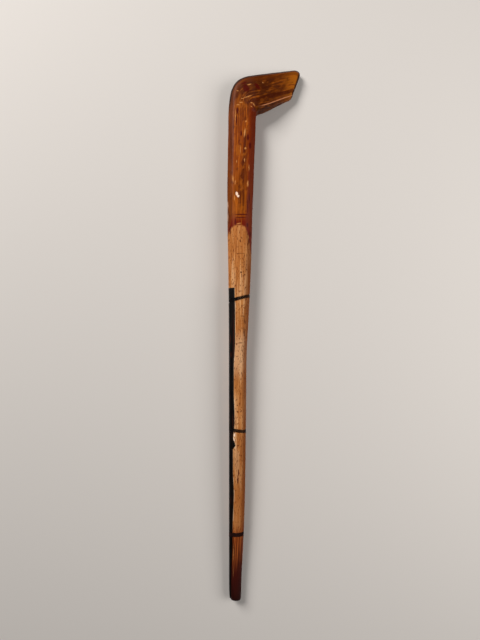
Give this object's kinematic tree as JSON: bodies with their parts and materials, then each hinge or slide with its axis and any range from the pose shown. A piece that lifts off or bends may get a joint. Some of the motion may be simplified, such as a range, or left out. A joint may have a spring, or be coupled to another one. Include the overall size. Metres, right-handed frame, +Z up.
{
  "type": "walking stick",
  "caption": "Hand-carved wooden walking stick with a one-piece L-shaped crook handle, a long black splint let into one flank and cord bindings round the shaft.",
  "frame": {"origin": "centre of the underside of the whole object's box, on the surface it lies on", "axes": "+Z up from the surface the stick lies on, +Y along the shaft from the tip to the handle, +X the way the handle points"},
  "size_m": [0.1168, 0.85, 0.0323],
  "materials": {
    "carved_wood": "hand-carved, varnished red-brown on the handle and upper shaft, worn bare below, stained dark at the tip",
    "black_splint": "split cane, blackened, satin",
    "binding_cord": "waxed black cord, dull"
  },
  "bodies": {
    "root": {"carved_stick": "carved_wood", "black_splint": "black_splint", "upper_binding": "binding_cord", "middle_binding": "binding_cord", "lower_binding": "binding_cord"}
  },
  "joints": []
}
